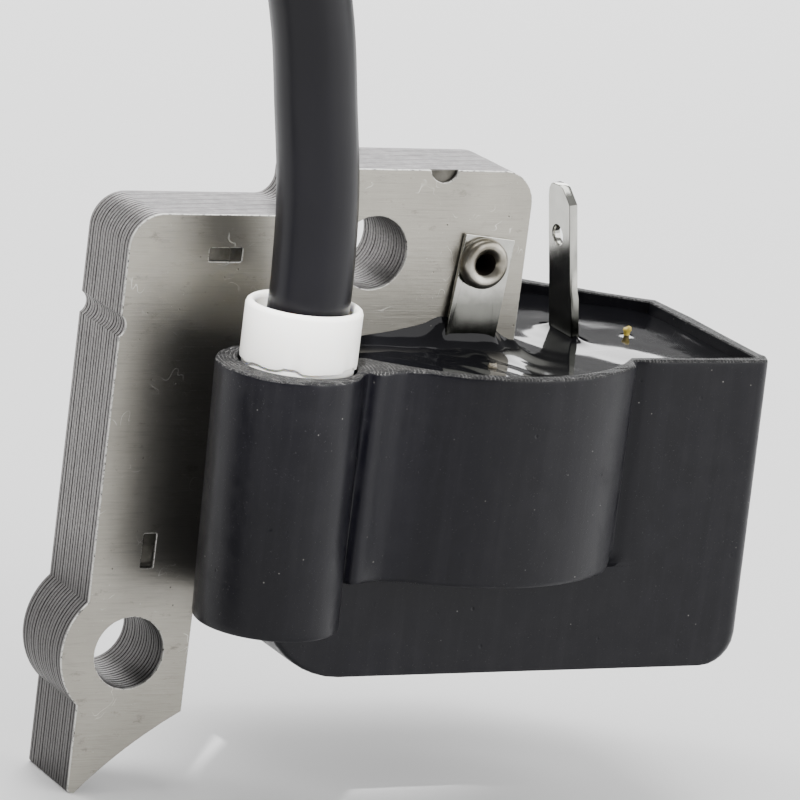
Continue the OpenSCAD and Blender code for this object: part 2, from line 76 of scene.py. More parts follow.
# Groove right of the bulge: place beyond its end, and share of the way back to the box's front
GROOVE = [(0.25, 0.55), (0.6, 1.15), (1.1, 1.32), (1.7, 1.2), (2.4, 1.02)]
GROOVE_RIGHT = 44.6
SLANT, SLANT_REACH = radians(36.4), 23.2
TOWER_R, TOWER_FOOT, TOWER_Z, TOWER_END = 6.3, (8.4, -8.2), 5.4, -30
BORE, BORE_R, BORE_WALL_R = (8.5, -8.2), 5.12, 6.15
POOL_Z, POOL_CREST, POOL_BOTTOM, POOL_GRID = 27.0, 30.2, 12.0, 0.32
WIRE, BLADE_X = (48.3, 5.2), 42.0
# Slope, place away from the eye, place to its right, reach and breadth of each rise in the potting
POOL_RISES = [(0.07, 20.0, 39.5, 3.0, 3.6), (0.06, 24.0, 32.2, 4.5, 1.9), (0.05, 14.5, 31.0, 1.6, 2.0)]
# Place along X and height of the potting's climb up the core's face
CORE_CLIMB = [(8, 0.2), (12, 0.5), (15, 0.9), (18.7, 1.3), (22, 1.9), (25.4, 2.7), (29, 2.6), (31.5, 1.6),
              (33.8, 0.5)]

# Points along the middle of the lead
LEAD_PATH = [
    (8.5, -8.2, 9), (8.5, -8.2, 14), (8.5, -8.2, 20), (8.6, -8.3, 26), (8.7, -8.4, 31),
    (8.7, -8.5, 36), (8.2, -8.6, 43), (7.1, -8.6, 50), (5.4, -8.6, 59), (1.8, -8.6, 70),
    (-4.6, -8.4, 80.5), (-14, -8, 88), (-26, -7.6, 91), (-38, -7.2, 88), (-47.2, -6.8, 80.5),
    (-52.6, -6.4, 70), (-54.6, -6, 59), (-55, -6, 48), (-55, -6, 37), (-55, -6, 27), (-55, -6, 18),
]
LEAD_R, LEAD_LENGTH = 3.5, 0.187
BOOT = (-55, -6, -4.1)


# -------- geometry helpers

def new_object(name, data):
    """Object in the scene."""
    obj = bpy.data.objects.new(name, data)
    bpy.context.scene.collection.objects.link(obj)
    return obj


def add_object(name, data, node):
    """Piece that rides on the body and the CAD node that it stands for."""
    obj = new_object(name, data)
    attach(obj, "root")
    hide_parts(node)
    return obj


def make_mesh(name, verts, faces, materials, sharp):
    """Mesh from millimetres. Quads are smooth apart from edges sharper than the angle.

    Other faces are flat caps, and take the second material if there is one.
    """
    mesh = bpy.data.meshes.new(name)
    mesh.from_pydata([tuple(c * MM for c in v) for v in verts], [], faces)
    mesh.validate()
    for material in materials:
        mesh.materials.append(material)
    mesh.shade_smooth()
    mesh.set_sharp_from_angle(angle=radians(sharp))
    for face in mesh.polygons:
        if face.loop_total != 4:
            face.use_smooth = False
            face.material_index = len(materials) - 1
    mesh.update()
    return mesh


def add_piece(mats, name, part, sharp, slot, node, *finishes):
    """Mesh piece from a part in millimetres, in its slot's material or in the named ones."""
    materials = [mats[finish] for finish in finishes or (slot,)]
    return add_object(name, make_mesh(name, *part, materials, sharp), node)


def join_parts(parts):
    """One vertex list and face list from several."""
    verts, faces = [], []
    for part_verts, part_faces in parts:
        start = len(verts)
        verts += part_verts
        faces += [[i + start for i in face] for face in part_faces]
    return verts, faces


def moved(part, matrix):
    """The same part after a 4x4 matrix in millimetres."""
    verts, faces = part
    return [tuple(matrix @ Vector(v)) for v in verts], faces


def loft(rings, close_start=True, close_end=True):
    """Skin over rings of equal length."""
    count = len(rings[0])
    verts = [tuple(p) for ring in rings for p in ring]
    faces = []
    for level in range(len(rings) - 1):
        low, high = level * count, (level + 1) * count
        for i in range(count):
            j = (i + 1) % count
            faces.append([low + i, low + j, high + j, high + i])
    if close_start:
        faces.append(list(range(count))[::-1])
    if close_end:
        faces.append([(len(rings) - 1) * count + i for i in range(count)])
    return verts, faces


def circle(radius, height, segments):
    """Ring about Z."""
    angles = [2 * pi * k / segments for k in range(segments)]
    return [(radius * cos(a), radius * sin(a), height) for a in angles]


def lathe(profile, segments, closed=False):
    """Turns (radius, height) points about Z. closed joins the profile's last point to its first."""
    rings = [circle(r, h, segments) for r, h in profile]
    if closed:
        rings.append(rings[0])
    return loft(rings, not closed, not closed)


def inset(loop, distance):
    """The loop moved to its left, which is inwards on a counter-clockwise outline."""
    result = []
    for i, p in enumerate(loop):
        a, b = Vector(loop[i - 1]), Vector(loop[(i + 1) % len(loop)])
        v = Vector(p)
        t1, t2 = (v - a).normalized(), (b - v).normalized()
        n1, n2 = Vector((-t1.y, t1.x)), Vector((-t2.y, t2.x))
        shift = (n1 + n2) / max(1 + n1.dot(n2), 0.4)
        result.append(tuple(v + shift * distance))
    return result


def flat(path, z):
    """Outline at one height."""
    return [(x, y, z) for x, y in path]


def cap(verts, rings, upwards):
    """Triangles that fill an outline and its holes, each given as vertex numbers, at one height."""
    ids = [i for ring in rings for i in ring]
    faces = []
    for tri in tessellate_polygon([[Vector((*verts[i][:2], 0)) for i in ring] for ring in rings]):
        a, b, c = (Vector(verts[ids[k]]) for k in tri)
        up = (b - a).cross(c - a).z > 0
        faces.append([ids[k] for k in (tri if up == upwards else tri[::-1])])
    return faces


def plate(loops, low, high, edge):
    """Flat plate with rounded edges from an outline and holes, between two heights."""
    levels = [(edge, low), (edge * 0.3, low + edge * 0.3), (0, low + edge),
              (0, high - edge), (edge * 0.3, high - edge * 0.3), (edge, high)]
    walls = [loft([flat(inset(loop, d), h) for d, h in levels], False, False) for loop in loops]
    verts, faces = join_parts(walls)
    bottoms, tops, start = [], [], 0
    for loop in loops:
        count = len(loop)
        bottoms.append([start + i for i in range(count)])
        start += len(levels) * count
        tops.append([start - count + i for i in range(count)])
    return verts, faces + cap(verts, bottoms, False) + cap(verts, tops, True)


def arc(centre, radius, start, end, steps):
    """Points on an arc, angles in degrees, both ends included."""
    cx, cy = centre
    result = []
    for k in range(steps + 1):
        a = radians(start + (end - start) * k / steps)
        result.append((cx + radius * cos(a), cy + radius * sin(a)))
    return result


def straight(a, b, steps):
    """Points from a towards b, without b."""
    return [tuple(Vector(a).lerp(Vector(b), k / steps)) for k in range(steps)]


def smooth_path(points, steps):
    """Catmull-Rom curve through the points, the last one included."""
    pts = [Vector(p) for p in points]
    result = []
    for i in range(len(pts) - 1):
        a, b, c = pts[max(i - 1, 0)], pts[i], pts[i + 1]
        d = pts[min(i + 2, len(pts) - 1)]
        for k in range(steps):
            t = k / steps
            result.append(0.5 * (2 * b + (c - a) * t + (2 * a - 5 * b + 4 * c - d) * t * t
                                 + (3 * b - a - 3 * c + d) * t ** 3))
    return result + [pts[-1]]


def wobble(*values):
    """Repeatable number from -1 to 1 that changes smoothly with the values."""
    total = sum(v * w for v, w in zip(values, (1.7, 2.3, 3.1)))
    return 0.6 * sin(total) + 0.4 * sin(2.7 * total + 1.3)


# -------- materials

class Surface:
    """Node material with procedural detail measured in millimetres."""

    def __init__(self, name, rough=0.5, metal=0.0, specular=0.5):
        self.mat = bpy.data.materials.new(name)
        self.mat.use_nodes = True
        self.tree = self.mat.node_tree
        self.shader = self.tree.nodes["Principled BSDF"]
        for key, value in (("Roughness", rough), ("Metallic", metal), ("Specular IOR Level", specular)):
            self.shader.inputs[key].default_value = value
        self.place = self.node("TexCoord", {})["Object"]

    def link(self, source, target):
        """Links a node's output, or sets a number or colour."""
        if isinstance(source, bpy.types.NodeSocket):
            self.tree.links.new(source, target)
        elif target.type == "RGBA":
            target.default_value = (*source, 1)
        else:
            target.default_value = source

    def node(self, kind, inputs, **values):
        """Outputs of a new node with its inputs linked or set."""
        made = self.tree.nodes.new("ShaderNode" + kind)
        for key, value in values.items():
            setattr(made, key, value)
        for key, value in inputs.items():
            self.link(value, made.inputs[key])
        return made.outputs

    def coords(self, stretch=(1, 1, 1), turn=(0, 0, 0)):
        """Place on the object in millimetres, divided by stretch."""
        scale = [1000 / s for s in stretch]
        return self.node("Mapping", {"Vector": self.place, "Scale": scale, "Rotation": turn})[0]

    def axes(self):
        """X, Y and Z in millimetres."""
        return self.node("SeparateXYZ", {"Vector": self.coords()})

    def noise(self, size, stretch=(1, 1, 1), detail=3, rough=0.55, warp=0.0):
        inputs = {"Vector": self.coords(stretch), "Scale": 1 / size, "Detail": detail}
        inputs.update({"Roughness": rough, "Distortion": warp})
        return self.node("TexNoise", inputs)["Fac"]

    def specks(self, spacing, size, stretch=(1, 1, 1), turn=(0, 0, 0)):
        """White where a scattered speck lies, black elsewhere."""
        inputs = {"Vector": self.coords(stretch, turn), "Scale": 1 / spacing}
        ratio = size / spacing
        return self.fall(self.node("TexVoronoi", inputs)["Distance"], ratio * 0.5, ratio)

    def hair(self, size, width, patch):
        """Thin wandering lines, kept only where a second noise is above patch."""
        near = self.math("ABSOLUTE", self.math("SUBTRACT", self.noise(size, detail=1, warp=0.8), 0.5))
        other = self.noise(size * 1.3, stretch=(1.1, 0.9, 1), detail=1)
        return self.times(self.fall(near, width * 0.4, width), self.rise(other, patch, patch + 0.06))

    def curve(self, value, stops):
        """Number remapped through (position, value) stops."""
        made = self.node("ValToRGB", {"Fac": value})["Color"]
        ramp = made.node.color_ramp
        for k, (position, level) in enumerate(stops):
            stop = ramp.elements[k] if k < 2 else ramp.elements.new(position)
            stop.position = position
            stop.color = (level, level, level, 1)
        return made

    def rise(self, value, start, end, top=1):
        """0 up to start, climbing to top at end."""
        return self.curve(value, [(start, 0), (end, top)])

    def fall(self, value, start, end, top=1):
        """top up to start, dropping to 0 at end."""
        return self.curve(value, [(start, top), (end, 0)])

    def math(self, operation, a, b=0.0, c=0.5):
        return self.node("Math", {0: a, 1: b, 2: c}, operation=operation)[0]

    def plus(self, a, b):
        return self.math("ADD", a, b)

    def times(self, a, b):
        return self.math("MULTIPLY", a, b)

    def either(self, a, b):
        """The larger number."""
        return self.math("MAXIMUM", a, b)

    def mix(self, amount, a, b):
        """Colour a changed towards b."""
        return self.node("Mix", {"Factor": amount, "A": a, "B": b}, data_type="RGBA")["Result"]

    def spread(self, value, low, high):
        """A 0 to 1 number stretched to run from low to high."""
        return self.node("MapRange", {"Value": value, "To Min": low, "To Max": high})["Result"]

    def colour(self, value):
        self.link(value, self.shader.inputs["Base Color"])

    def roughness(self, value):
        self.link(value, self.shader.inputs["Roughness"])

    def bump(self, height, depth, strength=1.0):
        """Adds relief of the given depth in millimetres."""
        normal = self.shader.inputs["Normal"]
        inputs = {"Strength": strength, "Distance": depth * MM, "Height": height}
        if normal.links:
            inputs["Normal"] = normal.links[0].from_socket
        self.link(self.node("Bump", inputs)["Normal"], normal)


def core_steel():
    """Rolled face of a lamination: streaks, scratches, curls, nicks, pits, and a painted dark reflection of
    the tower beside it.
    """
    s = Surface("core_steel", rough=0.34, metal=1.0)
    streaks = s.noise(0.09, stretch=(60, 1, 1), detail=4)
    coarse = s.noise(0.25, stretch=(14, 1, 1), detail=5, rough=0.7)
    clouds = s.noise(7)
    base = s.mix(s.rise(clouds, 0.3, 0.7), (0.38, 0.36, 0.312), (0.46, 0.438, 0.382))
    base = s.mix(s.spread(streaks, 0, 0.6), base, (0.27, 0.262, 0.235))
    base = s.mix(s.rise(coarse, 0.52, 0.75, 0.45), base, (0.2, 0.194, 0.175))
    scratch = s.specks(5.0, 0.10, (1, 1, 12), (0, 0.6, 0))
    curl = s.hair(2.2, 0.010, 0.60)
    nick = s.rise(s.noise(0.35, detail=4, rough=0.75), 0.655, 0.70)
    light = s.either(s.times(scratch, 0.7), s.times(curl, 0.5))
    light = s.either(light, s.times(nick, 0.4))
    base = s.mix(light, base, (0.85, 0.84, 0.8))
    dirt = s.rise(s.noise(1.3, stretch=(2, 1, 1), detail=6, rough=0.75), 0.58, 0.70, 0.6)
    pits = s.specks(1.5, 0.10)
    place = s.axes()
    # Painted reflection: the tower's dark reflection beside it fades out by X = -4 and 12, and by Z = 3 and
    # 39
    across = s.math("DIVIDE", s.plus(place["X"], 5.0), 20.0)
    across = s.curve(across, [(0.06, 0), (0.2, 0.45), (0.35, 0.68), (0.65, 0.68), (0.85, 0)])
    up = s.curve(s.math("DIVIDE", place["Z"], 50.0), [(0.06, 0), (0.16, 1), (0.6, 1), (0.78, 0)])
    # Darkens the face near the tower as a painted reflection of it
    base = s.mix(s.times(across, up), base, (0.11, 0.108, 0.105))
    s.colour(s.mix(s.either(dirt, s.times(pits, 0.8)), base, (0.12, 0.11, 0.095)))
    grain = s.noise(0.3, stretch=(2, 1, 1), detail=4, rough=0.7)
    s.roughness(s.plus(s.spread(streaks, 0.24, 0.42), s.spread(grain, -0.06, 0.12)))
    s.bump(streaks, 0.014, 0.8)
    s.bump(coarse, 0.02, 0.6)
    s.bump(light, 0.03, 0.6)
    s.bump(pits, -0.03, 0.8)
    s.bump(s.noise(1.1, detail=4, rough=0.65), 0.03, 0.3)
    return s.mat


def core_edge():
    """Punched edge of the stack: dark seams between sheets, smeared tops, darker foot, worn bore, and a
    patchy painted highlight along the front edge.
    """
    s = Surface("core_edge", rough=0.42, metal=1.0)
    place = s.axes()
    wander = s.spread(s.noise(1.2), -0.05, 0.05)
    depth = s.plus(s.plus(place["Y"], 0.01), wander)
    sheet = s.math("PINGPONG", depth, LAM_PITCH / 2)
    seam = s.fall(sheet, 0.02, 0.12)
    burr = s.curve(sheet, [(0.10, 0), (0.15, 1), (0.21, 0.15)])
    tone = s.noise(0.5, stretch=(30, 1, 30), detail=1)
    clouds = s.noise(3.5)
    grain = s.noise(0.22, detail=5, rough=0.75)
    base = s.mix(s.rise(clouds, 0.35, 0.65), (0.105, 0.099, 0.099), (0.165, 0.157, 0.156))
    base = s.mix(s.spread(tone, 0, 0.5), base, (0.10, 0.094, 0.093))
    base = s.mix(s.times(burr, 0.6), base, (0.40, 0.39, 0.375))
    base = s.mix(s.rise(grain, 0.46, 0.68, 0.7), base, (0.36, 0.352, 0.345))
    base = s.mix(s.fall(grain, 0.3, 0.44, 0.75), base, (0.05, 0.046, 0.046))
    # Painted highlight: the front edge of the front sheet, in patches where the crumbs noise lets it through
    rim = s.curve(place["Y"], [(0.0, 1), (0.16, 1), (0.24, 0)])
    crumbs = s.rise(s.noise(0.45, detail=5, rough=0.75), 0.38, 0.5)
    top = s.either(*[s.math("COMPARE", place["Z"], level, 0.08) for level in (SHOULDER_Z, CORE_TOP)])
    patches = s.rise(s.noise(1.1, detail=5, rough=0.7), 0.4, 0.62)
    smear = s.mix(patches, (0.135, 0.129, 0.133), (0.225, 0.217, 0.218))
    base = s.mix(s.times(top, 0.75), base, smear)
    # The foot is darker up to Z = 5 and no darker than the rest from Z = 10
    foot = s.fall(s.math("DIVIDE", s.plus(place["Z"], 15.0), 60.0), 0.33, 0.42, 0.55)
    base = s.mix(foot, base, (0.03, 0.028, 0.028))
    axis = {0: s.coords(stretch=(1, 1e6, 1)), 1: (UPPER_HOLE[0], 0, UPPER_HOLE[1])}
    away = s.node("VectorMath", axis, operation="DISTANCE")["Value"]
    worn = s.either(top, s.math("LESS_THAN", away, HOLE_R + 0.2))
    seam = s.times(seam, s.spread(worn, 0.9, 0.35))
    base = s.mix(seam, base, (0.022, 0.019, 0.019))
    # Lays the patchy painted highlight along the front edge
    s.colour(s.mix(s.times(s.times(rim, crumbs), 0.8), base, (0.75, 0.74, 0.7)))
    s.roughness(s.spread(grain, 0.34, 0.58))
    s.bump(grain, 0.04, 0.8)
    return s.mat


def black_plastic():
    """Moulded box: fine grain, sparse dust, short scratches, pits and faint drag marks."""
    s = Surface("housing_plastic", rough=0.4, specular=0.235)
    clouds = s.noise(5, detail=4)
    fine = s.noise(0.25, detail=5, rough=0.7)
    drag = s.noise(1.1, stretch=(1, 1, 16), detail=2, warp=0.4)
    patch = s.rise(s.noise(6, detail=2), 0.42, 0.62)
    dust = s.times(s.specks(1.5, 0.085), patch)
    grit = s.rise(s.noise(0.22, detail=4, rough=0.8), 0.645, 0.70)
    scuffs = [s.specks(3.0, 0.07, (4, 1, 1), (0, 0.7, 0)), s.specks(3.6, 0.07, (1, 1, 6), (0, -0.5, 0))]
    scuffs = s.times(s.either(*scuffs), s.rise(s.noise(0.25), 0.4, 0.55))
    mottle = s.rise(s.noise(2.2, detail=5, rough=0.65), 0.45, 0.7)
    base = s.mix(clouds, (0.0012, 0.0011, 0.0028), (0.0030, 0.0028, 0.0056))
    base = s.mix(s.times(mottle, 0.08), base, (0.035, 0.034, 0.038))
    base = s.mix(s.rise(drag, 0.5, 0.8, 0.14), base, (0.03, 0.029, 0.033))
    base = s.mix(s.times(dust, 0.6), base, (0.35, 0.34, 0.32))
    base = s.mix(s.times(grit, 0.10), base, (0.3, 0.3, 0.3))
    s.colour(s.mix(s.times(scuffs, 0.3), base, (0.4, 0.4, 0.4)))
    s.roughness(s.plus(s.spread(mottle, 0.30, 0.44), s.spread(fine, -0.05, 0.09)))
    s.bump(fine, 0.012, 0.7)
    s.bump(grit, 0.03, 0.6)
    s.bump(drag, 0.02, 0.3)
    s.bump(s.noise(9, detail=2), 0.12, 0.35)
    s.bump(scuffs, 0.02, 0.5)
    s.bump(s.times(s.specks(2.8, 0.2), patch), -0.06, 0.8)
    return s.mat


def cut_rim():
    """Trimmed top edge of the moulding: crumbs, and turned lines round the tower's bore."""
    s = Surface("cut_rim", rough=0.6, specular=0.4)
    place = s.axes()
    across = s.math("SUBTRACT", place["X"], BORE[0])
    along = s.math("SUBTRACT", place["Y"], BORE[1])
    reach = s.math("SQRT", s.plus(s.math("POWER", across, 2.0), s.math("POWER", along, 2.0)))
    warped = s.plus(reach, s.spread(s.noise(2.0), -0.2, 0.2))
    turned = s.math("PINGPONG", warped, 0.17)
    lines = s.fall(turned, 0.02, 0.07)
    crumbs = s.rise(s.noise(0.3, detail=5, rough=0.8), 0.5, 0.6)
    patch = s.rise(s.noise(1.4, detail=2), 0.42, 0.6)
    light = s.either(s.times(crumbs, 0.8), s.times(lines, patch))
    s.colour(s.mix(s.times(light, 0.5), (0.004, 0.004, 0.005), (0.26, 0.255, 0.25)))
    s.bump(crumbs, 0.12, 0.9)
    s.bump(lines, 0.06, 0.6)
    return s.mat


def potting():
    """Glossy black resin: faint haze and dust."""
    s = Surface("potting_epoxy", rough=0.06, specular=0.15)
    haze = s.noise(3.5, detail=4)
    dust = s.specks(2.6, 0.08)
    base = s.mix(haze, (0.004, 0.004, 0.005), (0.008, 0.008, 0.0095))
    s.colour(s.mix(s.times(dust, 0.3), base, (0.4, 0.38, 0.34)))
    s.roughness(s.spread(haze, 0.04, 0.11))
    s.bump(s.noise(4.5, detail=1), 0.10, 0.5)
    return s.mat


def ferrule_plastic():
    """White plastic that lets a little light in."""
    s = Surface("ferrule_plastic", rough=0.5, specular=0.4)
    clouds = s.noise(3, detail=4)
    s.colour(s.mix(clouds, (0.985, 0.965, 0.905), (0.995, 0.982, 0.935)))
    s.roughness(s.spread(clouds, 0.45, 0.6))
    inputs = s.shader.inputs
    inputs["Subsurface Weight"].default_value = 0.15
    inputs["Subsurface Radius"].default_value = (0.8, 0.7, 0.5)
    inputs["Subsurface Scale"].default_value = MM
    s.bump(s.noise(0.4, detail=4), 0.01, 0.5)
    return s.mat


def lead_jacket():
    """Drawn black jacket: lengthwise grain and dust."""
    s = Surface("lead_jacket", rough=0.28, specular=0.28)
    clouds = s.noise(4, detail=4)
    drawn = s.noise(0.35, stretch=(1, 1, 30))
    dust = s.specks(3.5, 0.12)
    base = s.mix(clouds, (0.0014, 0.0013, 0.0026), (0.0034, 0.0031, 0.0052))
    s.colour(s.mix(s.times(dust, 0.3), base, (0.3, 0.3, 0.3)))
    s.roughness(s.plus(s.spread(clouds, 0.28, 0.38), s.spread(drawn, -0.03, 0.03)))
    s.bump(drawn, 0.01, 0.4)
    return s.mat


def boot_rubber():
    """Dull black rubber."""
    s = Surface("boot_rubber", rough=0.6, specular=0.35)
    fine = s.noise(0.3, detail=5, rough=0.7)
    clouds = s.noise(6)
    s.colour(s.mix(clouds, (0.014, 0.014, 0.015), (0.024, 0.024, 0.025)))
    s.roughness(s.spread(clouds, 0.52, 0.7))
    s.bump(fine, 0.02, 0.5)
    return s.mat


def plated(name, low, high, rough, grain=(1, 1, 14), darkened_low=False):
    """Plated sheet metal: drawn grain, faint stains; the last argument makes it darker low down, below a
    ragged line.
    """
    s = Surface(name, rough=rough, metal=1.0)
    clouds = s.noise(2.2, detail=4)
    drawn = s.noise(0.12, stretch=grain)
    base = s.mix(s.rise(clouds, 0.3, 0.7), low, high)
    base = s.mix(s.spread(drawn, 0, 0.25), base, tuple(c * 0.7 for c in low))
    if darkened_low:
        # Darker below a ragged line between Z = 29 and 33
        level = s.plus(s.axes()["Z"], s.spread(s.noise(0.9, detail=4), -0.5, 0.5))
        stops = [(0.572, 0.98), (0.588, 0.8), (0.625, 0.7), (0.66, 0.05)]
        low_darkening = s.curve(s.math("DIVIDE", level, 50.0), stops)
        base = s.mix(low_darkening, base, (0.045, 0.047, 0.04))
    s.colour(base)
    s.roughness(s.plus(s.spread(clouds, rough - 0.06, rough + 0.08), s.spread(drawn, -0.03, 0.05)))
    s.bump(drawn, 0.008, 0.5)
    return s.mat


def varnished_wire():
    """Wound wire: fine turns under enamel."""
    s = Surface("enamelled_copper", rough=0.3, metal=0.8)
    inputs = {"Vector": s.coords(), "Scale": 1.6, "Distortion": 0.6}
    turns = s.node("TexWave", inputs, bands_direction="Z")["Fac"]
    darker = (0.2475, 0.099, 0.0405)
    base = s.mix(turns, darker, (0.55, 0.22, 0.09))
    s.colour(s.mix(s.spread(s.noise(2.5), 0, 0.4), base, darker))
    s.bump(turns, 0.08, 0.8)
    return s.mat


def plain_moulding(name, low, high, rough, specular=0.5):
    """Moulded or coated part: mottled colour, fine grain."""
    s = Surface(name, rough=rough, specular=specular)
    clouds = s.noise(2.5, detail=4)
    s.colour(s.mix(clouds, low, high))
    s.roughness(s.spread(clouds, rough - 0.06, rough + 0.08))
    s.bump(s.noise(0.3, detail=4), 0.012, 0.5)
    return s.mat


def all_materials():
    """A material for each slot, and for a few details."""
    shades = {
        "bobbin_plastic": ((0.36, 0.29, 0.2), (0.48, 0.4, 0.29), 0.5),
        "board_laminate": ((0.06, 0.16, 0.05), (0.1, 0.24, 0.08), 0.4),
        "capacitor_body": ((0.34, 0.07, 0.04), (0.46, 0.11, 0.06), 0.25),
        "component_black": ((0.015, 0.015, 0.016), (0.035, 0.035, 0.037), 0.45),
        "resistor_body": ((0.52, 0.42, 0.26), (0.66, 0.55, 0.36), 0.3),
        "red_sleeve": ((0.38, 0.02, 0.02), (0.52, 0.04, 0.03), 0.4),
        "green_sleeve": ((0.02, 0.14, 0.03), (0.04, 0.22, 0.06), 0.4),
        "yellow_sleeve": ((0.5, 0.36, 0.04), (0.68, 0.52, 0.1), 0.4),
        "resin_flake": ((0.1, 0.08, 0.05), (0.4, 0.36, 0.28), 0.12),
        # Painted shade inside the rivet's hole
        "rivet_bore": ((0.004, 0.003, 0.003), (0.016, 0.012, 0.009), 0.8, 0.04),
    }
    metals = {
        "brass": ((0.62, 0.42, 0.16), (0.74, 0.54, 0.24), 0.3),
        "spring_steel": ((0.55, 0.55, 0.56), (0.7, 0.7, 0.71), 0.28),
        # Painted shade for the floors of the front sheet's slots and recess
        "pressed_mark": ((0.05, 0.047, 0.04), (0.16, 0.153, 0.135), 0.4, (1, 1, 1)),
        "rivet_steel": ((0.2, 0.18, 0.14), (0.56, 0.54, 0.49), 0.30, (1, 1, 1)),
        "tinned_steel": ((0.44, 0.435, 0.40), (0.58, 0.575, 0.54), 0.13, (1, 1, 14), True),
    }
    made = {name: plain_moulding(name, *values) for name, values in shades.items()}
    made.update({name: plated(name, *values) for name, values in metals.items()})
    made.update(core_steel=core_steel(), core_edge=core_edge(), housing_plastic=black_plastic(),
                cut_rim=cut_rim(), potting_epoxy=potting(), ferrule_plastic=ferrule_plastic(),
                lead_jacket=lead_jacket(), boot_rubber=boot_rubber(), enamelled_copper=varnished_wire())
    return made


# -------- core

def core_outline(recess):
    """Outline of a lamination in X and Z, counter-clockwise; recess adds the half-round cut on top."""
    def wheel_angle(x):
        return degrees(acos((x - FLYWHEEL[0]) / FLYWHEEL_R))
    r = 3.0
    path = [(CORE_LEFT, FOOT_Z + 0.25), (CORE_LEFT + 0.2, FOOT_Z)]
    path += arc(FLYWHEEL, FLYWHEEL_R, wheel_angle(CORE_LEFT + 0.65), wheel_angle(LEG_RIGHT), 12)
    path += arc((LEG_RIGHT + 1, YOKE_Z - 1), 1, 180, 90, 5)
    path += arc((WOUND_LEFT - 1, YOKE_Z - 1), 1, 90, 0, 5)
    path += arc(FLYWHEEL, FLYWHEEL_R, wheel_angle(WOUND_LEFT), wheel_angle(CORE_RIGHT), 10)
    path += arc((CORE_RIGHT - r, CORE_TOP - r), r, 0, 90, 14)
    if recess:
        path += arc(RECESS, RECESS_R, -12.4, -167.6, 12)
    path += arc((STEP_X + 1.8, CORE_TOP - 1.8), 1.8, 90, 180, 9)
    path += arc((STEP_X - 1.8, SHOULDER_Z + 1.8), 1.8, 0, -90, 9)
    path += arc((CORE_LEFT + r, SHOULDER_Z - r), r, 90, 180, 14)
    path += arc(NOTCH, NOTCH_R, 57, -57, 8)
    turn = degrees(acos(-CORE_LEFT / BOSS_R))
    path += arc((0, 0), BOSS_R, 180 - turn, 180 + turn, 20)
    return path


def hole(centre, radius, steps=56):
    """Round hole, clockwise."""
    return arc(centre, radius, 360, 0, steps)[:-1]


def slot_hole(centre, width, height):
    """Rectangular hole with slightly rounded corners, clockwise."""
    w, h, r = width / 2, height / 2, 0.15
    cx, cy = centre
    path = []
    for sx, sy, start in ((1, 1, 90), (1, -1, 0), (-1, -1, -90), (-1, 1, -180)):
        path += arc((cx + sx * (w - r), cy + sy * (h - r)), r, start, start - 90, 3)
    return path


def upright(part, dx=0.0, dz=0.0):
    """Stands a plate drawn in X and Z (thickness along its third axis) with that axis along +Y."""
    verts, faces = part
    return [(x + dx, h, z + dz) for x, z, h in verts], [face[::-1] for face in faces]


def lamination(index, front=False):
    """One sheet of the stack; those behind the front one are set a little off."""
    low = index * LAM_PITCH
    loops = [core_outline(front), hole((0, 0), HOLE_R), hole(UPPER_HOLE, HOLE_R)]
    loops.append(hole(RIVET, RIVET_HOLE_R, 24))
    if front:
        loops += [slot_hole(UPPER_SLOT, SLOT_LONG, SLOT_SHORT), slot_hole(LOWER_SLOT, SLOT_SHORT, SLOT_LONG)]
    made = plate(loops, low, low + LAM_THICK, 0.07)
    shift = 0.0 if front else 0.015
    return upright(made, shift * wobble(index * 5.1), shift * wobble(index * 3.7 + 2))


def tab(centre, level):
    """Pressed V-shaped tab on the floor of a slot; level says it lies along X."""
    cx, cz = centre
    half, side = SLOT_LONG / 2 - 0.02, SLOT_SHORT / 2 - 0.06
    steps = [(-half, 0.6), (-half * 0.78, 0.44), (half * 0.28, 0.24), (half * 0.34, 0.12), (half, 0.07)]
    rings = []
    for along, depth in steps:
        ring = []
        for across, y in [(-side, depth), (side, depth), (side, 0.6), (-side, 0.6)]:
            x, z = (along, across) if level else (across, along)
            ring.append((cx + x, y, cz + z))
        rings.append(ring)
    return loft(rings)


def recess_floor():
    """Sloping floor of the half-round cut in the top edge."""
    rim = arc(RECESS, RECESS_R - 0.02, -14, -166, 16)
    return loft([[(x, 0.1 * (x - 21.8) + depth, z) for x, z in rim] for depth in (0.0, 0.08)])


def build_core(mats):
    """The stack in its three nodes, and what shows in the front sheet's recesses, in a dark finish that is
    painted shade.
    """
    groups = {
        "core_front_lamination": [lamination(0, True)],
        "core_inner_laminations": [lamination(k) for k in range(1, LAM_COUNT - 1)],
        "core_rear_lamination": [lamination(LAM_COUNT - 1)],
    }
    for node, parts in groups.items():
        part = join_parts(parts)
        add_piece(mats, "detailed_" + node, part, 40, "core_steel", node, "core_edge", "core_steel")
    # The tabs and the recess floor take the dark finish, painted shade in the slots and the recess
    part = join_parts([tab(UPPER_SLOT, True), tab(LOWER_SLOT, False), recess_floor()])
    add_piece(mats, "painted_shade_recess_floors", part, 25, "core_steel", "core_front_lamination", "pressed_mark")


# -------- coil box

def box_left(z):
    """Left face of the box, drawn in by the big foot radius."""
    return BOX_LEFT + (8 - sqrt(64 - (8 - z) ** 2) if z < 8 else 0)


def box_right(z):
    """Right face, drafted, with its foot radius."""
    drawn = BOX_RIGHT + 0.4 * (1 - z / RIM_Z)
    return drawn - (3 - sqrt(9 - (3 - z) ** 2) if z < 3 else 0)


def box_front(z):
    """Front face, drafted."""
    return BOX_FRONT - 0.3 * (1 - z / RIM_Z)


def tower_centre(z):
    """Middle of the leaning tower in X and Y."""
    rise = z - TOWER_Z
    lean_x, lean_y = tan(radians(2.25)), tan(radians(1.25))
    return TOWER_FOOT[0] - rise * lean_x, TOWER_FOOT[1] - rise * lean_y


